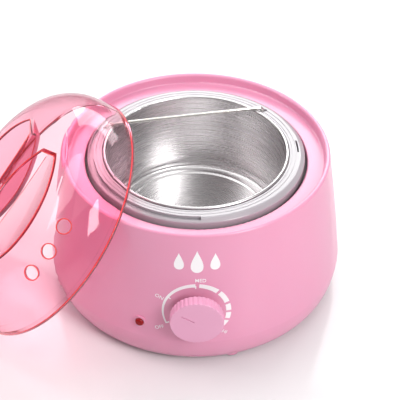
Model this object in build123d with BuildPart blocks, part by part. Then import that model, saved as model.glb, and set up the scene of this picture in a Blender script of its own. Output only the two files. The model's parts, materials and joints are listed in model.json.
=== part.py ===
from build123d import *
import os
from math import acos, asin, cos, degrees, radians, sin, tan

# Electric wax warmer pot, in millimetres. The housing axis is +Z and the knob
# faces -Y. z = 0 is the underside of the base cover; the rubber feet reach
# below it to the table. The lid leans against the left side of the housing.

# ---- driving dimensions ----
belly_radius = 87.0  # widest radius of the housing
belly_height = 18.3
base_radius = 78.8  # where the rounded foot meets the flat underside
rim_radius = 77.2
housing_height = 88.8
side_bulge = 0.43  # outward bow of the tapered side at mid height
wall = 2.5
seam_height = 4.8  # top edge of the base cover
seam_gap = 0.4

lip_inner_radius = 74.6
ledge_height = 82.8
ledge_opening = 64.5
skirt_bottom = 78.0

knob_height = 39.3
knob_radius = 14.9
knob_back = 87.3  # distance of the knob's back from the housing axis
knob_thickness = 6.0
pointer_angle = 148.0  # counter-clockwise from +X, seen from the front

lamp_angle = 248.45
lamp_height = 28.1
gland_height = 17.0
cord_radius = 3.2

pot_mouth_radius = 51.75
pot_floor_radius = 50.0
pot_floor_height = 35.6
pot_top = 88.2
sheet = 0.8

collar_radius = 62.9
collar_top = 87.2
wire_radius = 1.0
wire_angle = 100.65  # where the middle of the wire lies, round the pot
wire_offset = 30.9  # distance of the wire from the pot's axis
wire_hole_radius = 56.0
wire_slot_shift = 0.8  # the wire's holes are lengthened outwards along the wire by twice this

lid_rim_radius = 74.0
lid_height = 38.0
lid_wall = 2.0
lid_lean = 48.2  # angle of the lid's axis from vertical
lid_bearing = 192.5  # the side of the housing that the lid leans on
lid_reach = 87.2  # distance of the rim's centre from the housing axis
foot_drop = 2.0

# ---- derived dimensions ----
housing_bottom = seam_height + seam_gap
ledge_underside = ledge_height - wall
well_radius = 53.2  # inside of the heater well
well_wall = 1.3
well_floor = pot_floor_height - sheet - 0.2
band_inner = well_radius + well_wall
band_outer = band_inner + 1.8
sleeve_inner = band_outer + 0.4
sleeve_outer = sleeve_inner + 4.0
cover_plate = 2.6
post_circle = 77.5
post_bottom = 8.5
flange_screw_circle = 70.5
lamp_depth = 85.85  # outer skin at the lamp, measured from the housing axis

os.makedirs("parts", exist_ok=True)


def polar(radius, angle, height=0.0):
    """Point at a radius and an angle round the housing axis."""
    return (radius * cos(radians(angle)), radius * sin(radians(angle)), height)


def radial_plane(radius, angle, height):
    """Plane that faces away from the housing axis, with local y upwards."""
    outward = (cos(radians(angle)), sin(radians(angle)), 0)
    around = (-sin(radians(angle)), cos(radians(angle)), 0)
    return Plane(origin=polar(radius, angle, height), x_dir=around, z_dir=outward)


def section_plane(angle):
    """Upright plane through the housing axis, with local x outwards and y upwards."""
    return Plane(
        origin=(0, 0, 0), x_dir=polar(1, angle), z_dir=(sin(radians(angle)), -cos(radians(angle)), 0)
    )


def front_plane(depth):
    """Plane square to the knob's axis at a distance from the housing axis."""
    return radial_plane(depth, -90, knob_height)


def side_radius(height):
    """Outer radius of the housing's tapered side."""
    t = (height - belly_height) / (housing_height - belly_height)
    return belly_radius + (rim_radius - belly_radius) * t + 4 * side_bulge * t * (1 - t)


def body_outline(inset, bottom, top):
    """Rounded foot and bowed side of the body, moved inwards by inset."""
    middle = (belly_height + top) / 2
    foot_x = belly_radius - base_radius - inset
    foot_y = belly_height - inset
    turn = degrees(asin((belly_height - bottom) / foot_y))
    foot = EllipticalCenterArc(
        (base_radius, belly_height), foot_x, foot_y, start_angle=-turn, arc_size=turn
    )
    side = ThreePointArc(
        foot @ 1, (side_radius(middle) - inset, middle), (side_radius(top) - inset, top)
    )
    return foot @ 0, side @ 1


def tube(radius, *points, bend):
    """Round tube along straight runs joined by tangent bends."""
    with BuildPart() as piece:
        with BuildLine() as route:
            FilletPolyline(*points, radius=bend)
        with BuildSketch(Plane(origin=route.line @ 0, z_dir=route.line % 0)):
            Circle(radius)
        sweep(path=route.line)
    return piece


def pan_screw(plane, head_radius, head_height, shank_radius, shank_length):
    """Cross-headed screw whose head stands on the plane and points along it."""
    with BuildPart() as screw:
        with BuildSketch(plane):
            Circle(head_radius)
        extrude(amount=head_height)
        fillet(screw.faces().sort_by(Axis(plane.origin, plane.z_dir))[-1].edges(), head_height * 0.35)
        with BuildSketch(plane):
            Circle(shank_radius)
        extrude(amount=-shank_length)
        with BuildSketch(plane.offset(head_height)):
            Rectangle(head_radius * 1.2, head_radius * 0.25)
            Rectangle(head_radius * 0.25, head_radius * 1.2)
        extrude(amount=-head_height * 0.6, mode=Mode.SUBTRACT)
    return screw


nodes = {}

# ---- housing: the hollow first, leaving out what stands on its inner wall ----
with BuildPart() as housing_hollow:
    with BuildSketch(Plane.XZ):
        with BuildLine():
            low, high = body_outline(wall, housing_bottom, ledge_underside)
            Polyline(high, (0, ledge_underside), (0, housing_bottom), low)
        make_face()
    revolve(axis=Axis.Z)
    with BuildSketch(Plane.XY.offset(skirt_bottom)):
        Circle(ledge_opening + 2)
        Circle(ledge_opening, mode=Mode.SUBTRACT)
        with PolarLocations(flange_screw_circle, 4, start_angle=45):
            Circle(3.5)
    extrude(amount=ledge_underside - skirt_bottom, mode=Mode.SUBTRACT)
    with BuildSketch(Plane.XY.offset(post_bottom)):
        with PolarLocations(post_circle, 4, start_angle=15):
            Circle(4)
            with Locations((4.5, 0)):
                Rectangle(9, 3)
    extrude(amount=16, mode=Mode.SUBTRACT)
    with BuildSketch(front_plane(78)):
        Circle(15)
    extrude(amount=10, mode=Mode.SUBTRACT)

with BuildPart() as housing_shell:
    with BuildSketch(Plane.XZ):
        with BuildLine():
            lip_top = housing_height - (rim_radius - lip_inner_radius) / 2
            low, high = body_outline(0, housing_bottom, lip_top)
            lip = ThreePointArc(
                high, ((rim_radius + lip_inner_radius) / 2, housing_height), (lip_inner_radius, lip_top)
            )
            ledge = FilletPolyline(
                lip @ 1,
                (lip_inner_radius, ledge_height),
                (ledge_opening, ledge_height),
                (ledge_opening, housing_bottom),
                radius=(1.0, 0.8),
            )
            Line(ledge @ 1, low)
        make_face()
    revolve(axis=Axis.Z)
    with BuildSketch(radial_plane(lamp_depth - 2, lamp_angle, lamp_height)):
        Circle(3.7)
    extrude(amount=2.5)
    add(housing_hollow.part, mode=Mode.SUBTRACT)
    with BuildSketch(Plane.XY.offset(post_bottom)):
        with PolarLocations(post_circle, 4, start_angle=15):
            Circle(1.55)
    extrude(amount=12, mode=Mode.SUBTRACT)
    with BuildSketch(Plane.XY.offset(skirt_bottom)):
        with PolarLocations(flange_screw_circle, 4, start_angle=45):
            Circle(1.55)
    extrude(amount=3.8, mode=Mode.SUBTRACT)
    with BuildSketch(front_plane(77)):
        Circle(8)
    extrude(amount=4.2, mode=Mode.SUBTRACT)
    with BuildSketch(front_plane(77)):
        Circle(5.6)
    extrude(amount=12, mode=Mode.SUBTRACT)
    with BuildSketch(front_plane(77)):
        with Locations((-11.5, 0), (11.5, 0)):
            Circle(1.3)
    extrude(amount=5, mode=Mode.SUBTRACT)
    with BuildSketch(radial_plane(80, lamp_angle, lamp_height)):
        Circle(2.6)
    extrude(amount=10, mode=Mode.SUBTRACT)
    with BuildSketch(radial_plane(80, 90, gland_height)):
        Circle(5)
    extrude(amount=10, mode=Mode.SUBTRACT)
nodes["housing_shell"] = housing_shell

# ---- base cover with its locating rim, screw bosses, vents and clamp block ----
with BuildPart() as base_cover:
    with BuildSketch(Plane.XZ):
        with BuildLine():
            edge = EllipticalCenterArc(
                (base_radius, belly_height),
                belly_radius - base_radius,
                belly_height,
                start_angle=-90,
                arc_size=90 - degrees(asin((belly_height - seam_height) / belly_height)),
            )
            Polyline(
                edge @ 1,
                (81.4, seam_height),
                (81.4, 7.4),
                (79.6, 7.4),
                (79.6, cover_plate),
                (0, cover_plate),
                (0, 0),
                edge @ 0,
            )
        make_face()
    revolve(axis=Axis.Z)
    with BuildSketch():
        with PolarLocations(post_circle, 4, start_angle=15):
            Circle(4.6)
    extrude(amount=post_bottom)
    with BuildSketch():
        with Locations((0, 72)):
            Rectangle(26, 8)
    extrude(amount=gland_height - 0.6)
    with BuildSketch():
        with PolarLocations(post_circle, 4, start_angle=15):
            Circle(1.7)
    extrude(amount=post_bottom, mode=Mode.SUBTRACT)
    with BuildSketch():
        with PolarLocations(post_circle, 4, start_angle=15):
            Circle(3.4)
    extrude(amount=3.4, mode=Mode.SUBTRACT)
    with BuildSketch():
        with PolarLocations(66, 4, start_angle=45):
            Circle(6.1)
    extrude(amount=1.2, mode=Mode.SUBTRACT)
    with BuildSketch():
        with PolarLocations(34, 12):
            SlotOverall(20, 2.4)
    extrude(amount=cover_plate, mode=Mode.SUBTRACT)
    with BuildSketch(radial_plane(60, 90, gland_height)):
        Circle(cord_radius + 0.2)
    extrude(amount=20, mode=Mode.SUBTRACT)
    with BuildSketch(Plane.XY.offset(gland_height - 0.6)):
        with Locations((-9, 72), (9, 72)):
            Circle(1.3)
    extrude(amount=-9, mode=Mode.SUBTRACT)
nodes["base_cover"] = base_cover

for index in range(4):
    foot_x, foot_y, _ = polar(66, 45 + 90 * index)
    with BuildPart() as rubber_foot:
        with BuildSketch(Plane(origin=(foot_x, foot_y, 1.2))):
            Circle(6)
        extrude(amount=-1.2 - foot_drop)
        fillet(rubber_foot.edges().sort_by(Axis.Z)[0], 0.8)
    nodes[f"rubber_foot_{index + 1}"] = rubber_foot

for index in range(4):
    head_seat = Plane(origin=polar(post_circle, 15 + 90 * index, 3.4), z_dir=(0, 0, -1))
    nodes[f"base_screw_{index + 1}"] = pan_screw(head_seat, 3.0, 2.0, 1.5, 14)

# ---- heater well and what is fastened to it ----
with BuildPart() as heater_well:
    with BuildSketch(Plane.XZ):
        with BuildLine():
            inside = FilletPolyline(
                (0, well_floor),
                (well_radius, well_floor),
                (well_radius, skirt_bottom),
                radius=4,
            )
            outside = FilletPolyline(
                inside @ 1,
                (74.4, skirt_bottom),
                (74.4, skirt_bottom - 1.5),
                (well_radius + well_wall, skirt_bottom - 1.5),
                (well_radius + well_wall, well_floor - 1.5),
                (0, well_floor - 1.5),
                radius=(0.4, 0.4, 1.5, 4.5),
            )
            Line(outside @ 1, inside @ 0)
        make_face()
    revolve(axis=Axis.Z)
    with BuildSketch(Plane.XY.offset(skirt_bottom)):
        with PolarLocations(flange_screw_circle, 4, start_angle=45):
            Circle(1.7)
    extrude(amount=-2, mode=Mode.SUBTRACT)
nodes["heater_well"] = heater_well

for index in range(4):
    flange_seat = Plane(
        origin=polar(flange_screw_circle, 45 + 90 * index, skirt_bottom - 1.5), z_dir=(0, 0, -1)
    )
    nodes[f"well_screw_{index + 1}"] = pan_screw(flange_seat, 2.9, 2.0, 1.5, 4.8)

band_low, band_high = 40.0, 62.0
ear_gap = 5.0
with BuildPart() as heater_band:
    with BuildSketch(Plane.XY.offset(band_low)):
        Circle(band_outer)
        Circle(band_inner, mode=Mode.SUBTRACT)
    extrude(amount=band_high - band_low)
    with BuildSketch(Plane.XY.offset(band_low + 4)):
        with Locations((-ear_gap / 2 - 0.8, band_outer + 5), (ear_gap / 2 + 0.8, band_outer + 5)):
            Rectangle(1.6, 12)
    extrude(amount=band_high - band_low - 8)
    with BuildSketch(Plane.XY.offset(band_low - 1)):
        with Locations((0, band_outer - 1)):
            Rectangle(ear_gap, 6)
    extrude(amount=band_high - band_low + 2, mode=Mode.SUBTRACT)
    with BuildSketch(Plane.YZ.offset(-10)):
        with Locations((band_outer + 6.5, (band_low + band_high) / 2)):
            Circle(2.1)
    extrude(amount=20, mode=Mode.SUBTRACT)
    with BuildSketch(Plane.XY.offset(band_low - 7)):
        with PolarLocations((band_inner + band_outer) / 2, 2, start_angle=200, angular_range=40):
            Rectangle(0.9, 6)
    extrude(amount=8)
nodes["heater_band"] = heater_band

clamp_height = (band_low + band_high) / 2
clamp_depth = band_outer + 6.5
bolt_seat = Plane(origin=(ear_gap / 2 + 1.6, clamp_depth, clamp_height), z_dir=(1, 0, 0))
nodes["band_bolt"] = pan_screw(bolt_seat, 3.6, 2.4, 2.0, 14)

with BuildPart() as band_nut:
    with BuildSketch(Plane.YZ.offset(-ear_gap / 2 - 1.6)):
        with Locations((clamp_depth, clamp_height)):
            RegularPolygon(4.0, 6)
            Circle(2.05, mode=Mode.SUBTRACT)
    extrude(amount=-3)
nodes["band_nut"] = band_nut

with BuildPart() as insulation_sleeve:
    with BuildSketch(Plane.XY.offset(38)):
        Circle(sleeve_outer)
        Circle(sleeve_inner, mode=Mode.SUBTRACT)
        with Locations((0, sleeve_outer)):
            Rectangle(44, 30, mode=Mode.SUBTRACT)
    extrude(amount=28)
nodes["insulation_sleeve"] = insulation_sleeve

fuse_angle = 76.0
fuse_circle = band_outer + 2.2
with BuildPart() as thermal_fuse:
    with BuildSketch(Plane(origin=polar(fuse_circle, fuse_angle, 44))):
        Circle(2.0)
    extrude(amount=12)
    with BuildSketch(Plane(origin=polar(fuse_circle, fuse_angle, 38))):
        Circle(0.5)
    extrude(amount=24)
nodes["thermal_fuse"] = thermal_fuse

with BuildPart() as fuse_clip:
    with BuildSketch(Plane(origin=polar(fuse_circle, fuse_angle, 47))):
        Circle(2.6)
        Circle(2.05, mode=Mode.SUBTRACT)
    extrude(amount=6)
    with BuildSketch(Plane.XY.offset(46)):
        Circle(band_outer)
    extrude(amount=8, mode=Mode.SUBTRACT)
nodes["fuse_clip"] = fuse_clip

# ---- thermostat, square to the knob's axis ----
with BuildPart() as thermostat_bracket:
    with BuildSketch(front_plane(76.8)):
        SlotOverall(32, 13)
        Circle(4.2, mode=Mode.SUBTRACT)
        with Locations((-11.5, 0), (11.5, 0)):
            Circle(1.6, mode=Mode.SUBTRACT)
    extrude(amount=1.2)
nodes["thermostat_bracket"] = thermostat_bracket

for name, side in (("left", -1), ("right", 1)):
    screw_seat = Plane(
        origin=(side * 11.5, -76.8, knob_height), x_dir=(1, 0, 0), z_dir=(0, 1, 0)
    )
    nodes[f"bracket_screw_{name}"] = pan_screw(screw_seat, 2.4, 1.6, 1.25, 4.8)

with BuildPart() as thermostat_body:
    with BuildSketch(front_plane(66)):
        Circle(8.6)
    extrude(amount=10.8)
    with BuildSketch(front_plane(64.8)):
        Circle(7.2)
    extrude(amount=1.2)
    with BuildSketch(front_plane(76.8)):
        Circle(4.1)
    extrude(amount=3.9)
    with BuildSketch(front_plane(70)):
        with Locations((0, -10), (0, 10)):
            Rectangle(6.3, 4)
    extrude(amount=0.8)
    with BuildSketch(front_plane(72)):
        Circle(3.06)
    extrude(amount=10, mode=Mode.SUBTRACT)
nodes["thermostat_body"] = thermostat_body

with BuildPart() as thermostat_nut:
    with BuildSketch(front_plane(78)):
        RegularPolygon(7.2, 6)
        Circle(4.15, mode=Mode.SUBTRACT)
    extrude(amount=2.4)
nodes["thermostat_nut"] = thermostat_nut

shaft_flat = 2.0  # distance of the shaft's flat from its axis
with BuildPart() as thermostat_shaft:
    with BuildSketch(front_plane(72.2)):
        Circle(3.0)
    extrude(amount=18.4)
    with BuildSketch(front_plane(82.5)):
        with Locations((0, shaft_flat + 2)):
            Rectangle(8, 4)
    extrude(amount=10, mode=Mode.SUBTRACT)
nodes["thermostat_shaft"] = thermostat_shaft

with BuildPart() as control_knob:
    with BuildSketch(front_plane(knob_back)):
        Circle(knob_radius)
        with PolarLocations(knob_radius + 0.75, 36):
            Circle(1.1, mode=Mode.SUBTRACT)
    extrude(amount=knob_thickness)
    knob_face = control_knob.faces().sort_by(Axis.Y)[0]
    chamfer(knob_face.edges(), 0.3)
    with BuildSketch(front_plane(82.6)):
        Circle(5.0)
    extrude(amount=knob_back - 82.6)
    with BuildSketch(front_plane(82.6)):
        Circle(3.02)
        with Locations((0, shaft_flat + 2.03)):
            Rectangle(8, 4, mode=Mode.SUBTRACT)
    extrude(amount=8.2, mode=Mode.SUBTRACT)
    with BuildSketch(front_plane(knob_back)):
        Circle(knob_radius - 2.2)
        Circle(6.4, mode=Mode.SUBTRACT)
    extrude(amount=knob_thickness - 2, mode=Mode.SUBTRACT)
    pointer_plane = Plane(
        origin=(0, -knob_back - knob_thickness, knob_height), x_dir=(1, 0, 0), z_dir=(0, -1, 0)
    )
    with BuildSketch(pointer_plane):
        with PolarLocations(5.8, 1, start_angle=pointer_angle):
            Rectangle(8.4, 0.7)
    extrude(amount=-0.5, mode=Mode.SUBTRACT)
nodes["control_knob"] = control_knob

with BuildPart() as knob_spring_clip:
    with BuildSketch(front_plane(84.2)):
        Circle(5.5)
        Circle(5.02, mode=Mode.SUBTRACT)
        with Locations((0, -5)):
            Rectangle(4, 3, mode=Mode.SUBTRACT)
    extrude(amount=1.6)
nodes["knob_spring_clip"] = knob_spring_clip

# ---- indicator lamp ----
with BuildPart() as indicator_lens:
    with BuildSketch(radial_plane(82.6, lamp_angle, lamp_height)):
        Circle(2.5)
    extrude(amount=lamp_depth + 2.1 - 82.6)
    lens_axis = Axis(polar(0, 0), polar(1, lamp_angle))
    fillet(indicator_lens.faces().sort_by(lens_axis)[-1].edges(), 1.5)
    with BuildSketch(radial_plane(81.4, lamp_angle, lamp_height)):
        Circle(3.6)
    extrude(amount=1.2)
    with BuildSketch(radial_plane(81.4, lamp_angle, lamp_height)):
        Circle(1.7)
    extrude(amount=4, mode=Mode.SUBTRACT)
nodes["indicator_lens"] = indicator_lens

with BuildPart() as lamp_holder:
    with BuildSketch(radial_plane(68.4, lamp_angle, lamp_height)):
        Circle(3.8)
    extrude(amount=13)
    with BuildSketch(radial_plane(70, lamp_angle, lamp_height)):
        Circle(2.8)
    extrude(amount=12, mode=Mode.SUBTRACT)
nodes["lamp_holder"] = lamp_holder

with BuildPart() as lamp_bulb:
    with BuildSketch(radial_plane(70, lamp_angle, lamp_height)):
        Circle(2.0)
    extrude(amount=10)
    fillet(lamp_bulb.faces().sort_by(lens_axis)[-1].edges(), 1.6)
nodes["lamp_bulb"] = lamp_bulb

# ---- cord inlet and the clamp behind it ----
with BuildPart() as cord_gland:
    with BuildSketch(radial_plane(82, 90, gland_height)):
        Circle(6.8)
    extrude(amount=1.4)
    with BuildSketch(radial_plane(82, 90, gland_height)):
        Circle(4.9)
    extrude(amount=7.0)
    with BuildSketch(radial_plane(87.1, 90, gland_height)):
        Circle(7.4)
    extrude(amount=1.9)
    fillet(cord_gland.faces().sort_by(Axis.Y)[-1].edges(), 1.0)
    with BuildSketch(radial_plane(82, 90, gland_height)):
        Circle(cord_radius)
    extrude(amount=7.0, mode=Mode.SUBTRACT)
nodes["cord_gland"] = cord_gland

with BuildPart() as cord_clamp:
    with BuildSketch(Plane.XY.offset(gland_height + 0.6)):
        with Locations((0, 72)):
            RectangleRounded(26, 8, 2)
    extrude(amount=5)
    with BuildSketch(Plane.XY.offset(gland_height)):
        with Locations((-9, 72), (9, 72)):
            Circle(1.6)
    extrude(amount=8, mode=Mode.SUBTRACT)
    with BuildSketch(radial_plane(60, 90, gland_height)):
        Circle(cord_radius + 0.2)
    extrude(amount=20, mode=Mode.SUBTRACT)
nodes["cord_clamp"] = cord_clamp

for name, side in (("left", -1), ("right", 1)):
    clamp_seat = Plane(origin=(side * 9, 72, gland_height + 5.6))
    nodes[f"clamp_screw_{name}"] = pan_screw(clamp_seat, 2.6, 1.8, 1.25, 13)

# ---- terminal block and the leads between the electrical pieces ----
block_centre = (-36.0, 44.0)
with BuildPart() as terminal_block:
    with BuildSketch(Plane.XY.offset(cover_plate)):
        with Locations(block_centre):
            RectangleRounded(30, 12, 1.5)
    extrude(amount=10)
    with BuildSketch(Plane.XY.offset(cover_plate + 10)):
        with Locations(block_centre):
            with GridLocations(9.5, 1, 3, 1):
                Circle(2.2)
    extrude(amount=-4, mode=Mode.SUBTRACT)
    with BuildSketch(Plane.XZ.offset(-block_centre[1] - 6)):
        with Locations((block_centre[0], cover_plate + 4.2)):
            with GridLocations(9.5, 1, 3, 1):
                Circle(1.4)
    extrude(amount=12, mode=Mode.SUBTRACT)
nodes["terminal_block"] = terminal_block

lead_radius = 1.1
lead_z = cover_plate + 4.2
block_front = block_centre[1] - 6
lead_routes = {
    "lead_thermostat": [
        (-36, block_front, lead_z),
        (-36, 14, lead_z),
        (-12, -18, lead_z + 5),
        (0, -48, lead_z + 5),
        (0, -69, lead_z + 10),
        (0, -69, 26.4),
    ],
    "lead_heater": [
        (-26.5, block_front, lead_z),
        (-26.5, 12, lead_z + 2),
        (-34, -18, lead_z + 12),
        (-51.9, -18.9, 25),
        (-51.9, -18.9, 32.8),
    ],
    "lead_lamp": [
        (-45.5, block_front, lead_z),
        (-48, 8, lead_z),
        (-40, -34, lead_z + 4),
        polar(60, lamp_angle, 18),
        polar(60, lamp_angle, lamp_height),
        polar(68.3, lamp_angle, lamp_height),
    ],
    "lead_fuse": [
        (-26.5, block_front + 12, lead_z),
        (-26.5, 62, lead_z),
        (-4, 58, lead_z + 8),
        polar(fuse_circle, fuse_angle, 22),
        polar(fuse_circle, fuse_angle, 37.9),
    ],
}
lead_bends = {
    "lead_thermostat": 6,
    "lead_heater": 4,
    "lead_lamp": 3.5,
    "lead_fuse": 4,
}
for name, route in lead_routes.items():
    nodes[name] = tube(lead_radius, *route, bend=lead_bends[name])

# ---- inner pot: rolled rim, slightly tapered wall and a beaded floor ----
with BuildPart() as inner_pot:
    with BuildSketch(Plane.XZ):
        with BuildLine():
            roll_inner = pot_mouth_radius
            roll_outer = roll_inner + 2.0
            inside = FilletPolyline(
                (roll_inner, pot_top - 1.0),
                (pot_floor_radius, pot_floor_height),
                (45.2, pot_floor_height),
                (44.0, pot_floor_height + 1.2),
                (42.6, pot_floor_height + 0.4),
                (0, pot_floor_height + 0.4),
                radius=(2.4, 0.5, 0.5, 0.5),
            )
            outside = FilletPolyline(
                (0, pot_floor_height + 0.4 - sheet),
                (42.9, pot_floor_height + 0.4 - sheet),
                (44.0, pot_floor_height + 1.2 - sheet),
                (45.2, pot_floor_height - sheet),
                (pot_floor_radius + sheet, pot_floor_height - sheet),
                (roll_inner + sheet, pot_top - 2.0),
                (roll_outer, pot_top - 2.0),
                radius=(0.5, 0.4, 0.4, 3.0, 0.3),
            )
            Line(inside @ 1, outside @ 0)
            roll_side = Line(outside @ 1, (roll_outer, pot_top - 1.0))
            ThreePointArc(roll_side @ 1, ((roll_inner + roll_outer) / 2, pot_top), inside @ 0)
        make_face()
    revolve(axis=Axis.Z)
nodes["inner_pot"] = inner_pot

# ---- collar that the pot hangs by, with its groove, lines and slit ----
wire_half_angle = degrees(acos(wire_offset / wire_hole_radius))
wire_ends = [polar(wire_hole_radius, wire_angle + turn) for turn in (wire_half_angle, -wire_half_angle)]
collar_rings = [
    # (inner radius, width, depth, first angle, sweep)
    (55.2, 0.4, 0.3, 0, 360),
    (57.4, 0.4, 0.3, 0, 360),
    (59.2, 2.4, 2.2, 150, 122),
    (58.4, 1.0, 5.0, -2, 11),
]
with BuildPart() as pot_collar:
    with BuildSketch(Plane.XZ):
        with BuildLine():
            FilletPolyline(
                (pot_mouth_radius + sheet + 0.1, skirt_bottom),
                (collar_radius, skirt_bottom),
                (collar_radius, collar_top - 1.8),
                (60.2, collar_top),
                (54.0, collar_top),
                (54.0, pot_top - 2.0),
                (pot_mouth_radius + sheet + 0.1, pot_top - 2.0),
                radius=(0.2, 0.5, 0.9, 2.0, 0.4, 0.1, 0.2),
                close=True,
            )
        make_face()
    revolve(axis=Axis.Z)
    for inner, width, depth, first_angle, sweep_angle in collar_rings:
        with BuildSketch(section_plane(first_angle)):
            with Locations((inner, collar_top - depth)):
                Rectangle(width, depth + 1, align=(Align.MIN, Align.MIN))
        revolve(axis=Axis.Z, revolution_arc=sweep_angle, mode=Mode.SUBTRACT)
    with BuildSketch(Plane.XY.offset(collar_top)):
        for (x, y, _), side in zip(wire_ends, (1, -1)):
            along_x, along_y, _ = polar(side * wire_slot_shift, wire_angle + 90)
            with Locations(Location((x + along_x, y + along_y, 0), (0, 0, wire_angle + 90))):
                SlotOverall(2 * (wire_radius + 0.3 + wire_slot_shift), 2 * (wire_radius + 0.3))
    extrude(amount=-7, mode=Mode.SUBTRACT)
nodes["pot_collar"] = pot_collar

# ---- scraping wire: straight over the rim, both ends bent down into the collar ----
wire_height = pot_top + wire_radius + 0.15
wire_foot = collar_top - 6.4
wire_route = [
    (x, y, z)
    for (x, y, _), heights in zip(wire_ends, ((wire_foot, wire_height), (wire_height, wire_foot)))
    for z in heights
]
nodes["scraper_wire"] = tube(wire_radius, *wire_route, bend=2.2)

# ---- lid: a domed shell with two finger scoops that leave a ridge between them ----
lean = radians(lid_lean)
away = radians(lid_bearing)
lid_axis_dir = Vector(sin(lean) * cos(away), sin(lean) * sin(away), cos(lean))
lid_uphill = Vector(-cos(lean) * cos(away), -cos(lean) * sin(away), sin(lean))
lid_centre = Vector(polar(lid_reach, lid_bearing, lid_rim_radius * sin(lean) - foot_drop + 0.1))
ridge_turn = radians(13)  # the ridge lies this far from straight uphill
ridge_dir = lid_uphill * cos(ridge_turn) + lid_axis_dir.cross(lid_uphill) * sin(ridge_turn)
lid_plane = Plane(origin=lid_centre, x_dir=ridge_dir, z_dir=lid_axis_dir)
lid_section = Plane(origin=lid_centre, x_dir=ridge_dir, z_dir=ridge_dir.cross(lid_axis_dir))
lid_axis = Axis(lid_centre, lid_axis_dir)

draft = 5.5
shoulder_radius = 24.2
shoulder_height = 8.2
shoulder_x = lid_rim_radius - shoulder_radius * cos(radians(draft))
shoulder_x -= (shoulder_height + shoulder_radius * sin(radians(draft))) * tan(radians(draft))
# the one arc centred on the axis that touches the shoulder and the top
below_top = lid_height - shoulder_height
crown_radius = (shoulder_x**2 + below_top**2 - shoulder_radius**2) / (2 * (below_top - shoulder_radius))
crown_angle = degrees(asin(shoulder_x / (crown_radius - shoulder_radius)))

ridge_half_width = 3.6  # at the middle; the ridge flares towards its ends
scoop_end = (34.5, 11.5)  # where the ridge's flared side ends, along and across the ridge
scoop_corner = (38.5, 24.0)
scoop_limit = (42.0, 60.0)
scoop_radius = 138.0
scoop_height = 163.5  # height of the scoop ball's centre above the rim
rim_bead = 0.4
vent_radius = 4.1
vent_tilt = 45.0  # the vents are square to the shoulder at this angle
vent_spacing = 13.5
vent_bearing = -88.0  # the middle vent, round the lid from the ridge's direction


def scoop(side, inset):
    """Shallow ball cut off upright where the side and the ends of the ridge stand."""
    end_x, end_y = scoop_end
    with BuildPart() as tool:
        with BuildSketch(lid_plane):
            with BuildLine():
                ridge_side = ThreePointArc(
                    (-end_x, side * end_y), (0, side * ridge_half_width), (end_x, side * end_y)
                )
                Polyline(
                    ridge_side @ 1,
                    (scoop_corner[0], side * scoop_corner[1]),
                    (scoop_limit[0], side * scoop_limit[1]),
                    (-scoop_limit[0], side * scoop_limit[1]),
                    (-scoop_corner[0], side * scoop_corner[1]),
                    ridge_side @ 0,
                )
            make_face()
            if inset:
                offset(amount=inset)
        extrude(amount=lid_height + 20)
        with Locations(lid_plane.from_local_coords(Vector(0, 0, scoop_height))):
            Sphere(scoop_radius + inset, mode=Mode.INTERSECT)
    return tool.part


def dome(inset):
    """Filled dome with its two scoops, moved inwards by inset."""
    with BuildPart() as solid:
        with BuildSketch(lid_section):
            with BuildLine():
                crown = CenterArc(
                    (0, lid_height - crown_radius), crown_radius - inset, 90 - crown_angle, crown_angle
                )
                shoulder = CenterArc(
                    (shoulder_x, shoulder_height), shoulder_radius - inset, draft, 90 - crown_angle - draft
                )
                foot_x = (shoulder @ 0).X + (shoulder @ 0).Y * tan(radians(draft))
                Polyline(shoulder @ 0, (foot_x, 0), (0, 0), crown @ 1)
            make_face()
        revolve(axis=lid_axis)
        for side in (-1, 1):
            add(scoop(side, inset), mode=Mode.SUBTRACT)
    return solid.part


with BuildPart() as lid:
    add(dome(0))
    add(dome(lid_wall), mode=Mode.SUBTRACT)
    with BuildSketch(lid_section):
        with Locations((lid_rim_radius - lid_wall - rim_bead, 0)):
            Rectangle(lid_wall + rim_bead - 0.5, 3, align=(Align.MIN, Align.MIN))
    revolve(axis=lid_axis)
    for turn in (-vent_spacing, 0, vent_spacing):
        around = radians(vent_bearing + turn)
        outward = lid_plane.x_dir * cos(around) + lid_plane.y_dir * sin(around)
        tilt = radians(vent_tilt)
        reach = shoulder_x + shoulder_radius * cos(tilt)
        rise = shoulder_height + shoulder_radius * sin(tilt)
        vent_centre = lid_centre + outward * reach + lid_axis_dir * rise
        vent_dir = outward * cos(tilt) + lid_axis_dir * sin(tilt)
        with BuildSketch(Plane(origin=vent_centre, z_dir=vent_dir)):
            Circle(vent_radius)
        extrude(amount=6, both=True, mode=Mode.SUBTRACT)
nodes["lid"] = lid

for name, node in nodes.items():
    node.part.label = name
    export_step(node.part, f"parts/{name}.step")
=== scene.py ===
import json
from math import cos, pi, radians, sin, sqrt

import bmesh
import bpy
from mathutils import Matrix, Vector


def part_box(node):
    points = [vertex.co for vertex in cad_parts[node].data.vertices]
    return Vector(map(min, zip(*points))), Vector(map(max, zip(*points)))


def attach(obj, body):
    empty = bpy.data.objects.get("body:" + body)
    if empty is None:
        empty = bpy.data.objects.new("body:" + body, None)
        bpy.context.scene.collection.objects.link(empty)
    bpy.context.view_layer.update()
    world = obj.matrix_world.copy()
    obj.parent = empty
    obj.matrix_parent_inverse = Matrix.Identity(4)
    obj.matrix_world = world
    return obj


# Looks for the wax warmer pot. Metres, in the CAD frame: +Z up, the knob faces -Y,
# the lid leans on the -X side. The lid's edges are worked out in millimetres.

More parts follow.
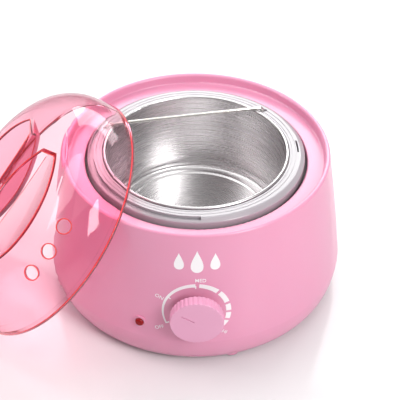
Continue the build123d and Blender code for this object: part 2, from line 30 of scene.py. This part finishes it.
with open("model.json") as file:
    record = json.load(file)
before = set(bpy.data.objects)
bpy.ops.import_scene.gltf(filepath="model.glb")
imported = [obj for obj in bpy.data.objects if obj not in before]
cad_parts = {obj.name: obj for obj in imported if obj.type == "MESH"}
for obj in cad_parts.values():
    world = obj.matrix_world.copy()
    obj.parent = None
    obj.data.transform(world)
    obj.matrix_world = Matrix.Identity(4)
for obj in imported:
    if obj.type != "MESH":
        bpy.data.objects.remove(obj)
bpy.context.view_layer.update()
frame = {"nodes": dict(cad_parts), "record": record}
nodes = frame["nodes"]
scene = bpy.context.scene
MM = 0.001
NOISE_LOW, NOISE_HIGH = 0.3, 0.7  # the part of a noise's range that is used


# ---- node helpers ----
class Shader:
    """A material's node tree with one Principled shader, and short calls to build it."""

    def __init__(self, name):
        self.material = bpy.data.materials.new(name)
        self.material.use_nodes = True
        self.tree = self.material.node_tree
        self.main = next(n for n in self.tree.nodes if n.type == "BSDF_PRINCIPLED")
        self.out = next(n for n in self.tree.nodes if n.type == "OUTPUT_MATERIAL")
        self.place = self.node("ShaderNodeTexCoord").outputs["Object"]

    def node(self, kind, **settings):
        made = self.tree.nodes.new(kind)
        for key, value in settings.items():
            setattr(made, key, value)
        return made

    def link(self, source, target):
        self.tree.links.new(source, target)

    def set(self, **values):
        """Plain values on the shader's own sockets, with _ for the spaces in their names."""
        for key, value in values.items():
            self.main.inputs[key.replace("_", " ")].default_value = value

    def noise(self, scale, detail=2.0, vector=None):
        made = self.node("ShaderNodeTexNoise")
        made.inputs["Scale"].default_value = scale
        made.inputs["Detail"].default_value = detail
        self.link(vector or self.place, made.inputs["Vector"])
        return made.outputs["Fac"]

    def spread(self, value, low, high):
        """Maps a noise value onto a range of numbers."""
        made = self.node("ShaderNodeMapRange")
        made.inputs["From Min"].default_value = NOISE_LOW
        made.inputs["From Max"].default_value = NOISE_HIGH
        made.inputs["To Min"].default_value = low
        made.inputs["To Max"].default_value = high
        self.link(value, made.inputs["Value"])
        return made.outputs["Result"]

    def ramp(self, value, *stops):
        """Colour ramp over a noise value, from (position, colour) pairs."""
        made = self.node("ShaderNodeValToRGB")
        while len(made.color_ramp.elements) < len(stops):
            made.color_ramp.elements.new(0.5)
        for element, (position, colour) in zip(made.color_ramp.elements, stops):
            element.position = position
            element.color = (*colour, 1)
        self.link(value, made.inputs["Fac"])
        return made.outputs["Color"]

    def bump(self, *layers):
        """Bumps in a chain: (height, depth in metres, strength)."""
        normal = None
        for height, depth, strength in layers:
            made = self.node("ShaderNodeBump")
            made.inputs["Distance"].default_value = depth
            made.inputs["Strength"].default_value = strength
            self.link(height, made.inputs["Height"])
            if normal is not None:
                self.link(normal, made.inputs["Normal"])
            normal = made.outputs["Normal"]
        self.link(normal, self.main.inputs["Normal"])

    def colour(self, socket):
        self.link(socket, self.main.inputs["Base Color"])

    def rough(self, socket):
        self.link(socket, self.main.inputs["Roughness"])

    def math(self, operation, first, second=None):
        made = self.node("ShaderNodeMath", operation=operation)
        for socket, value in zip(made.inputs, (first, second)):
            if value is None:
                continue
            if isinstance(value, (int, float)):
                socket.default_value = value
            else:
                self.link(value, socket)
        return made.outputs[0]

    def turned(self, along):
        """Radius, angle and height about +Z. A small along stretches a noise round the axis."""
        split = self.node("ShaderNodeSeparateXYZ")
        self.link(self.place, split.inputs[0])
        x, y, z = split.outputs
        x_squared = self.math("MULTIPLY", x, x)
        y_squared = self.math("MULTIPLY", y, y)
        radius = self.math("SQRT", self.math("ADD", x_squared, y_squared))
        angle = self.math("MULTIPLY", self.math("ARCTAN2", y, x), along)
        joined = self.node("ShaderNodeCombineXYZ")
        self.link(radius, joined.inputs[0])
        self.link(angle, joined.inputs[1])
        self.link(z, joined.inputs[2])
        return joined.outputs[0]


def moulded(name, pale, deep, roughness, coat=0.0, grain=0.000004, **values):
    """Moulded plastic: slow colour drift, a fine spark-eroded grain and uneven gloss."""
    s = Shader(name)
    s.set(Coat_Weight=coat, **values)
    s.colour(s.ramp(s.noise(14, 2), (0.25, deep), (0.75, pale)))
    s.rough(s.spread(s.noise(9, 2), roughness - 0.02, roughness + 0.03))
    s.bump((s.noise(1500, 1), grain, 0.08))
    return s


def worn_metal(name, pale, deep, roughness):
    """Plain metal with small stains and an uneven polish."""
    s = Shader(name)
    s.set(Metallic=1.0)
    s.colour(s.ramp(s.noise(270, 4), (NOISE_LOW, deep), (NOISE_HIGH, pale)))
    s.rough(s.spread(s.noise(900, 3), roughness - 0.04, roughness + 0.06))
    s.bump((s.noise(2250, 2), 0.000006, 0.2))
    return s


# ---- materials ----
pink = moulded(
    "pink plastic", (0.77, 0.318, 0.475), (0.75, 0.303, 0.455), 0.42, coat=0.45,
    Coat_Roughness=0.16, Subsurface_Weight=0.2, Subsurface_Scale=0.002,
)
pink.main.inputs["Subsurface Radius"].default_value = (1.0, 0.35, 0.5)
knob_pink = moulded(
    "knob plastic", (0.78, 0.37, 0.54), (0.76, 0.35, 0.52), 0.42, coat=0.3, Coat_Roughness=0.2,
)

milky = moulded(
    "milky plastic", (0.52, 0.49, 0.52), (0.48, 0.45, 0.48), 0.24, coat=0.4,
    Subsurface_Weight=0.3, Subsurface_Scale=0.003, Transmission_Weight=0.25,
)
milky.main.inputs["Subsurface Radius"].default_value = (1.0, 0.9, 1.0)

brushed = Shader("spun steel")
brushed.set(Metallic=1.0, Anisotropic=0.85)
rings = brushed.turned(0.0006)
brushed.colour(brushed.ramp(
    brushed.noise(2600, 2, vector=rings),
    (NOISE_LOW, (0.60, 0.585, 0.59)),
    (NOISE_HIGH, (0.67, 0.655, 0.66)),
))
brushed.rough(brushed.spread(brushed.noise(1500, 2, vector=rings), 0.25, 0.29))
brushed.bump((brushed.noise(3800, 2, vector=rings), 0.000004, 0.02))
tangent = brushed.node("ShaderNodeTangent", direction_type="RADIAL", axis="Z")
brushed.link(tangent.outputs[0], brushed.main.inputs["Tangent"])

drawn_wire = worn_metal("drawn wire", (0.78, 0.76, 0.72), (0.66, 0.64, 0.60), 0.14)

# Light on its way to a lamp passes straight through the lid and is only tinted, and so
# does a ray that has bounced often: its folded edges come out black otherwise.
clear_pink = Shader("clear pink")
clear_pink.set(Transmission_Weight=1.0, IOR=1.36, Base_Color=(1.0, 0.93, 0.96, 1))
clear_pink.rough(clear_pink.spread(clear_pink.noise(30, 2), 0.01, 0.03))
clear_pink.bump((clear_pink.noise(35, 1), 0.0001, 0.03))
absorb = clear_pink.node("ShaderNodeVolumeAbsorption")
absorb.inputs["Color"].default_value = (0.985, 0.40, 0.56, 1)
absorb.inputs["Density"].default_value = 190
clear_pink.link(absorb.outputs[0], clear_pink.out.inputs["Volume"])
light_path = clear_pink.node("ShaderNodeLightPath")
passing = clear_pink.node("ShaderNodeBsdfTransparent")
passing.inputs["Color"].default_value = (0.90, 0.74, 0.79, 1)
mixed = clear_pink.node("ShaderNodeMixShader")
trapped = clear_pink.math("GREATER_THAN", light_path.outputs["Ray Depth"], 3.5)
let_through = clear_pink.math("MAXIMUM", light_path.outputs["Is Shadow Ray"], trapped)
clear_pink.link(let_through, mixed.inputs[0])
clear_pink.link(clear_pink.main.outputs[0], mixed.inputs[1])
clear_pink.link(passing.outputs[0], mixed.inputs[2])
clear_pink.link(mixed.outputs[0], clear_pink.out.inputs["Surface"])

red_lens = moulded(
    "red lens", (0.30, 0.002, 0.004), (0.24, 0.001, 0.003), 0.10, grain=0.000002,
    Specular_IOR_Level=0.25, Subsurface_Weight=0.2, Subsurface_Scale=0.0015,
)
aluminium = worn_metal(
    "dark anodised aluminium", (0.060, 0.052, 0.056), (0.040, 0.034, 0.037), 0.45,
)
zinc = worn_metal("zinc plate", (0.72, 0.72, 0.70), (0.52, 0.53, 0.52), 0.32)
brass = worn_metal("brass", (0.78, 0.58, 0.28), (0.60, 0.42, 0.18), 0.30)
mica = worn_metal("band steel", (0.62, 0.58, 0.54), (0.46, 0.42, 0.38), 0.38)
rubber = moulded(
    "grey rubber", (0.055, 0.050, 0.052), (0.040, 0.036, 0.038), 0.62, grain=0.00002,
)
nylon = moulded("white nylon", (0.84, 0.83, 0.79), (0.78, 0.77, 0.72), 0.42)
ceramic = moulded("white ceramic", (0.88, 0.87, 0.84), (0.80, 0.79, 0.76), 0.20, coat=0.4)
lead = moulded("lead sheath", (0.80, 0.79, 0.74), (0.70, 0.68, 0.62), 0.45)
print_ink = moulded(
    "white ink", (0.93, 0.90, 0.91), (0.88, 0.84, 0.86), 0.38, grain=0.000006,
)

glass_fibre = Shader("glass fibre sleeve")
glass_fibre.set(Roughness=0.85, Sheen_Weight=0.3)
weave = glass_fibre.turned(0.06)
fibres = glass_fibre.noise(1300, 3, vector=weave)
glass_fibre.colour(glass_fibre.ramp(
    fibres,
    (NOISE_LOW, (0.66, 0.63, 0.56)),
    (NOISE_HIGH, (0.86, 0.84, 0.78)),
))
glass_fibre.bump((fibres, 0.0002, 0.6))

# painted edge glow: an opaque red colour that stands in for the light the clear lid gathers at
# its edges
painted_edge_glow = moulded(
    "painted edge glow", (0.80, 0.075, 0.070), (0.70, 0.050, 0.050), 0.25, coat=0.5,
    Subsurface_Weight=0.3, Subsurface_Scale=0.0008,
)

neon = Shader("lamp glass")
neon.set(Transmission_Weight=1.0, IOR=1.47, Base_Color=(1.0, 0.86, 0.74, 1))
neon.rough(neon.spread(neon.noise(400, 2), 0.02, 0.06))

by_slot = {
    "pink_plastic": pink,
    "clear_pink": clear_pink,
    "milky_plastic": milky,
    "brushed_pot": brushed,
    "bright_wire": drawn_wire,
    "well_aluminium": aluminium,
    "mica_band": mica,
    "glass_fibre": glass_fibre,
    "zinc_screw": zinc,
    "brass_part": brass,
    "white_ceramic": ceramic,
    "grey_rubber": rubber,
    "red_lens": red_lens,
    "neon_glass": neon,
    "white_nylon": nylon,
    "lead_sheath": lead,
}
for row in frame["record"]["subparts"]:
    shader = knob_pink if row["node"] == "control_knob" else by_slot[row["material_slot"]]
    for place in nodes[row["node"]].material_slots:
        place.material = shader.material


# ---- the housing's front skin, which the print lies on ----
shell_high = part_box("housing_shell")[1]
knob_low, knob_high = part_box("control_knob")
dial_x = (knob_low.x + knob_high.x) / 2
dial_z = (knob_low.z + knob_high.z) / 2
belly_radius = shell_high.x
belly_height = 0.0183
rim_radius = 0.0772
side_bulge = 0.00043  # outward bow of the tapered side at mid height
ink_height = 0.00007
ink_root = 0.00006  # how far the ink reaches into the skin


def skin_radius(z):
    """Radius of the housing's tapered side at a height."""
    t = (z - belly_height) / (shell_high.z - belly_height)
    return belly_radius + (rim_radius - belly_radius) * t + 4 * side_bulge * t * (1 - t)


def on_skin(x, z, lift):
    """Point on the housing's front at x and z, lifted off it."""
    radius = skin_radius(z) + lift
    return Vector((x, -sqrt(radius * radius - x * x), z))


def add_piece(name, data, shader, body):
    """Object from a mesh or a curve, on a body and with a material slot."""
    data.materials.append(shader.material)
    piece = bpy.data.objects.new(name, data)
    scene.collection.objects.link(piece)
    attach(piece, body)


def printed(name, build):
    """Ink on the front skin. build(mesh) draws flat faces with x and z in metres."""
    flat = bmesh.new()
    build(flat)
    bmesh.ops.remove_doubles(flat, verts=flat.verts, dist=0.000005)
    bmesh.ops.triangulate(flat, faces=flat.faces)
    solid = bmesh.new()
    upper = {v: solid.verts.new(on_skin(v.co.x, v.co.z, ink_height)) for v in flat.verts}
    lower = {v: solid.verts.new(on_skin(v.co.x, v.co.z, -ink_root)) for v in flat.verts}
    for face in flat.faces:
        solid.faces.new([upper[v] for v in face.verts])
        solid.faces.new([lower[v] for v in reversed(face.verts)])
    for edge in flat.edges:
        if len(edge.link_faces) == 1:
            a, b = edge.verts
            solid.faces.new([upper[a], upper[b], lower[b], lower[a]])
    bmesh.ops.recalc_face_normals(solid, faces=solid.faces)
    mesh = bpy.data.meshes.new(name)
    solid.to_mesh(mesh)
    solid.free()
    flat.free()
    add_piece(name, mesh, print_ink, "warmer")


def strip(mesh, pairs):
    """Flat ribbon from pairs of (x, z) points."""
    rows = [[mesh.verts.new((x, 0, z)) for x, z in pair] for pair in pairs]
    for (a, b), (c, d) in zip(rows, rows[1:]):
        mesh.faces.new([a, b, d, c])


arc_x, arc_z = dial_x - 0.0005, dial_z - 0.0005
arc_radius = 0.0182
arc_step = 1.5  # degrees
tick_inner, tick_outer = 0.0163, 0.0181
tick_half_angle = 1.1
letter_size = 0.0031
letter_weight = 0.004  # extra stroke, as a share of the letters' size


def dial_point(radius, angle):
    """(x, z) of a point on the dial, at degrees counter-clockwise from +X."""
    a = radians(angle)
    return arc_x + radius * cos(a), arc_z + radius * sin(a)


def arc(start, stop, width_start, width_stop):
    """Curved bar on the dial from one angle down to another, whose width changes evenly."""
    steps = max(4, int(abs(stop - start) / arc_step))

    def build(mesh):
        pairs = []
        for k in range(steps + 1):
            t = k / steps
            angle = start + (stop - start) * t
            width = width_start + (width_stop - width_start) * t
            pairs.append((
                dial_point(arc_radius - width / 2, angle),
                dial_point(arc_radius + width / 2, angle),
            ))
        strip(mesh, pairs)

    return build


printed("dial_line", arc(207.0, 91.0, 0.0008, 0.0021))
for index, (start, stop, first, last) in enumerate((
    (84.5, 49.5, 0.0023, 0.0027),
    (44.5, 20.0, 0.0027, 0.0028),
    (15.0, 1.5, 0.0028, 0.0028),
    (-3.0, -15.5, 0.0028, 0.0026),
    (-20.0, -35.0, 0.0026, 0.0002),
)):
    printed(f"dial_bar_{index + 1}", arc(start, stop, first, last))


def tick(angle):
    """Short mark on the inside of the dial's line."""
    def build(mesh):
        left, right = angle + tick_half_angle, angle - tick_half_angle
        strip(mesh, [
            (dial_point(tick_inner, left), dial_point(tick_inner, right)),
            (dial_point(tick_outer, left), dial_point(tick_outer, right)),
        ])

    return build


for name, angle in (("off", 206.0), ("on", 148.0), ("med", 90.5)):
    printed("dial_tick_" + name, tick(angle))


def letters(text, x, z, lean):
    """Flat text centred at (x, z) and turned by lean degrees."""
    def build(mesh):
        curve = bpy.data.curves.new("letters", "FONT")
        curve.body = text
        curve.size = letter_size
        curve.align_x = "CENTER"
        curve.align_y = "CENTER"
        curve.resolution_u = 4
        curve.offset = letter_size * letter_weight
        holder = bpy.data.objects.new("letters", curve)
        scene.collection.objects.link(holder)
        bpy.context.view_layer.update()
        depsgraph = bpy.context.evaluated_depsgraph_get()
        flat = bpy.data.meshes.new_from_object(holder.evaluated_get(depsgraph))
        flat.transform(Matrix.Rotation(radians(lean), 4, "Z"))
        flat.transform(Matrix(((1, 0, 0, x), (0, 0, 1, 0), (0, 1, 0, z), (0, 0, 0, 1))))
        mesh.from_mesh(flat)
        bpy.data.objects.remove(holder)
        bpy.data.curves.remove(curve)
        bpy.data.meshes.remove(flat)

    return build


for text, x, z, lean in (
    ("MED", 0.0020, 0.0603, 0.0),
    ("ON", -0.0206, 0.0476, -24.0),
    ("OFF", -0.0206, 0.0270, 22.0),
    ("HI", 0.0156, 0.0247, -30.0),
):
    printed("dial_text_" + text.lower(), letters(text, x, z, lean))


mark_z = 0.0725
drop_corners = 48
drop_taper = 1.6  # a larger number gives a thinner neck


def drop(x, height, width):
    """Falling drop of wax at the height of the mark above the dial."""
    def build(mesh):
        outline = []
        for k in range(drop_corners):
            t = 2 * pi * k / drop_corners
            outline.append(mesh.verts.new((
                x + width / 2 * sin(t) * sin(t / 2) ** drop_taper,
                0,
                mark_z + height / 2 * cos(t),
            )))
        mesh.faces.new(outline)

    return build


for index, (x, height, width) in enumerate((
    (-0.0098, 0.0105, 0.0078),
    (0.0, 0.0140, 0.0100),
    (0.0098, 0.0105, 0.0078),
)):
    printed(f"wax_drop_{index + 1}", drop(x, height, width))


# ---- painted edge glow: the lid's bright edges, where its clear plastic gathers the light, drawn as opaque red lines ----
# The lid's shape in millimetres, as it is in the CAD.
lid_rim = 74.0
lid_height = 38.0
lid_lean, lid_bearing, lid_reach = radians(48.2), radians(192.5), 87.2
lid_foot = -1.9  # height of the rim's lowest point
lid_normal = Vector((
    sin(lid_lean) * cos(lid_bearing),
    sin(lid_lean) * sin(lid_bearing),
    cos(lid_lean),
))
lid_uphill = Vector((
    -cos(lid_lean) * cos(lid_bearing),
    -cos(lid_lean) * sin(lid_bearing),
    sin(lid_lean),
))
lid_centre = Vector((
    lid_reach * cos(lid_bearing),
    lid_reach * sin(lid_bearing),
    lid_rim * sin(lid_lean) + lid_foot,
))
ridge_turn = radians(13)  # turn of the ridge from the lid's uphill direction
lid_x = lid_uphill * cos(ridge_turn) + lid_normal.cross(lid_uphill) * sin(ridge_turn)
lid_y = lid_normal.cross(lid_x)
shoulder_radius, shoulder_x, shoulder_z = 24.2, 48.898, 8.2
crown_radius = 240.488
scoop_ball, scoop_ball_z = 138.0, 163.5
ridge_middle = 3.6  # half width of the ridge at its middle
ridge_flare = 7.9  # how much wider than that each side is at its ends
ridge_end = 34.5
ridge_foot_end = 33.0
ridge_steps = 24
scoop_corners = ((34.5, 11.5), (36.6, 18.0), (38.5, 24.0))
scoop_outline = 46.3  # distance of a scoop's outer edge from the lid's axis
vent_radius, vent_tilt, vent_spacing, vent_bearing = 4.1, radians(45.0), 13.5, -88.0
vent_steps = 40
rim_line_radius, rim_line_height = 72.9, 0.8

# half thickness of each painted glow line
ridge_line, foot_line, scoop_line, vent_line, rim_line = 0.30, 0.28, 0.26, 0.34, 0.42
foot_inset = 0.15
scoop_sink = 0.05


def crown_height(x, y):
    """Height of the lid's outside above its rim, in mm."""
    r = sqrt(x * x + y * y)
    crown = lid_height - crown_radius + sqrt(crown_radius**2 - r * r)
    if r < shoulder_x * crown_radius / (crown_radius - shoulder_radius):
        return crown
    return shoulder_z + sqrt(max(0.0, shoulder_radius**2 - (r - shoulder_x) ** 2))


def scoop_height(x, y):
    """Height of the scoop's floor above the lid's rim."""
    return scoop_ball_z - sqrt(scoop_ball**2 - x * x - y * y)


def from_lid(x, y, z):
    """Point given in the lid's own frame in mm, as a point of the row frame in metres."""
    return (lid_centre + lid_x * x + lid_y * y + lid_normal * z) * MM


def ridge_side_y(x):
    """Half width of the flared ridge."""
    radius = (ridge_end**2 + ridge_flare**2) / (2 * ridge_flare)
    return ridge_middle + radius - sqrt(radius**2 - x * x)


def painted_glow_line(name, points, radius, closed=False):
    """Thin round line of painted edge glow through points given in the lid's own frame."""
    curve = bpy.data.curves.new(name, "CURVE")
    curve.dimensions = "3D"
    curve.bevel_depth = radius * MM
    curve.bevel_resolution = 3
    curve.use_fill_caps = True
    line = curve.splines.new("POLY")
    line.points.add(len(points) - 1)
    for knot, point in zip(line.points, points):
        knot.co = (*from_lid(*point), 1)
    line.use_cyclic_u = closed
    add_piece(name, curve, painted_edge_glow, "lid")


def evenly(end, steps):
    """Numbers from -end to end."""
    return [k * end / steps for k in range(-steps, steps + 1)]


def vent_ring(around):
    """Points of a vent's edge on the lid's outside, the vent being at an angle round it."""
    outward = Vector((
        cos(around) * cos(vent_tilt),
        sin(around) * cos(vent_tilt),
        sin(vent_tilt),
    ))
    across = Vector((-sin(around), cos(around), 0))
    upward = outward.cross(across)
    reach = shoulder_x + shoulder_radius * cos(vent_tilt)
    middle = Vector((
        reach * cos(around),
        reach * sin(around),
        shoulder_z + shoulder_radius * sin(vent_tilt),
    ))
    ring = []
    for step in range(vent_steps):
        turn = 2 * pi * step / vent_steps
        point = middle + (across * cos(turn) + upward * sin(turn)) * vent_radius
        # halving finds where the vent's wall comes out of the lid
        low, high = -2.0, 0.5
        for _ in range(30):
            depth = (low + high) / 2
            probe = point + outward * depth
            if probe.z < crown_height(probe.x, probe.y):
                low = depth
            else:
                high = depth
        ring.append(tuple(point + outward * low))
    return ring


for side, word in ((-1, "front"), (1, "back")):
    painted_glow_line(
        "ridge_edge_" + word,
        [
            (x, side * ridge_side_y(x), crown_height(x, ridge_side_y(x)))
            for x in evenly(ridge_end, ridge_steps)
        ],
        ridge_line,
    )
    painted_glow_line(
        "ridge_foot_" + word,
        [
            (
                x,
                side * (ridge_side_y(x) - foot_inset),
                scoop_height(x, ridge_side_y(x)) - foot_inset,
            )
            for x in evenly(ridge_foot_end, ridge_steps)
        ],
        foot_line,
    )
    outline = list(scoop_corners)
    outline += [
        (scoop_outline * cos(radians(a)), scoop_outline * sin(radians(a)))
        for a in range(34, 147, 2)
    ]
    outline += [(-x, y) for x, y in reversed(scoop_corners)]
    painted_glow_line(
        "scoop_edge_" + word,
        [(x, side * y, crown_height(x, y) - scoop_sink) for x, y in outline],
        scoop_line,
    )

for index in range(3):
    around = radians(vent_bearing + vent_spacing * (index - 1))
    painted_glow_line(f"vent_edge_{index + 1}", vent_ring(around), vent_line, closed=True)

rim_ring = [
    (rim_line_radius * cos(radians(a)), rim_line_radius * sin(radians(a)), rim_line_height)
    for a in range(0, 360, 3)
]
painted_glow_line("rim_edge", rim_ring, rim_line, closed=True)


# ---- floor, light and camera ----
floor_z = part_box("rubber_foot_1")[0].z
floor_mesh = bpy.data.meshes.new("floor")
floor_half = 3.0
floor_corners = ((-1, -1), (1, -1), (1, 1), (-1, 1))
floor_mesh.from_pydata(
    [(x * floor_half, y * floor_half, floor_z) for x, y in floor_corners], [], [(0, 1, 2, 3)],
)
floor = bpy.data.objects.new("floor", floor_mesh)
scene.collection.objects.link(floor)
paper = Shader("paper floor")
paper.set(Roughness=0.12, Specular_IOR_Level=0.35)
paper.colour(paper.ramp(
    paper.noise(3, 2),
    (NOISE_LOW, (0.72, 0.72, 0.72)),
    (NOISE_HIGH, (0.74, 0.74, 0.74)),
))
floor_mesh.materials.append(paper.material)

world = bpy.data.worlds.new("studio")
world.use_nodes = True
background = world.node_tree.nodes["Background"]
background.inputs["Color"].default_value = (1.0, 0.99, 1.0, 1)
background.inputs["Strength"].default_value = 0.33
scene.world = world


def softbox(name, place, target, width, height, power):
    """Area light at a place, turned towards a target. Metres and watts."""
    data = bpy.data.lights.new(name, "AREA")
    data.shape = "RECTANGLE"
    data.size, data.size_y = width, height
    data.energy = power
    light = bpy.data.objects.new(name, data)
    light.location = place
    light.rotation_mode = "QUATERNION"
    light.rotation_quaternion = (Vector(target) - Vector(place)).to_track_quat("-Z", "Y")
    scene.collection.objects.link(light)


softbox("key right", (0.53, -0.63, 0.60), (0, 0, 0.05), 0.30, 0.55, 6.2)
softbox("overhead", (0.05, -0.15, 1.00), (0, 0, 0.05), 0.90, 0.90, 2.7)
softbox("rear top", (0.10, 0.85, 0.70), (0, 0, 0.06), 1.30, 0.45, 10.0)
softbox("left rear", (-0.72, 0.08, 0.85), (0, 0, 0.08), 0.60, 0.60, 4.6)

# fitted to the photograph
camera_azimuth = radians(-90.85)
camera_height = radians(39.6)
camera_distance = 0.751
camera_roll = radians(0.58)
aim = Vector((0, 0, 0.05))
camera_data = bpy.data.cameras.new("camera")
camera_data.sensor_width = 36
camera_data.lens = 113.4
camera_data.shift_x = 0.0111
camera_data.shift_y = -0.0014
camera = bpy.data.objects.new("camera", camera_data)
back = Vector((
    cos(camera_height) * cos(camera_azimuth),
    cos(camera_height) * sin(camera_azimuth),
    sin(camera_height),
))
camera.location = aim + back * camera_distance
camera.rotation_mode = "QUATERNION"
roll = Matrix.Rotation(camera_roll, 4, "Z").to_quaternion()
camera.rotation_quaternion = (-back).to_track_quat("-Z", "Y") @ roll
scene.collection.objects.link(camera)
scene.camera = camera

scene.view_settings.view_transform = "Standard"
# many bounces for the clear lid
scene.cycles.max_bounces = 48
scene.cycles.transmission_bounces = 48
scene.cycles.transparent_max_bounces = 16
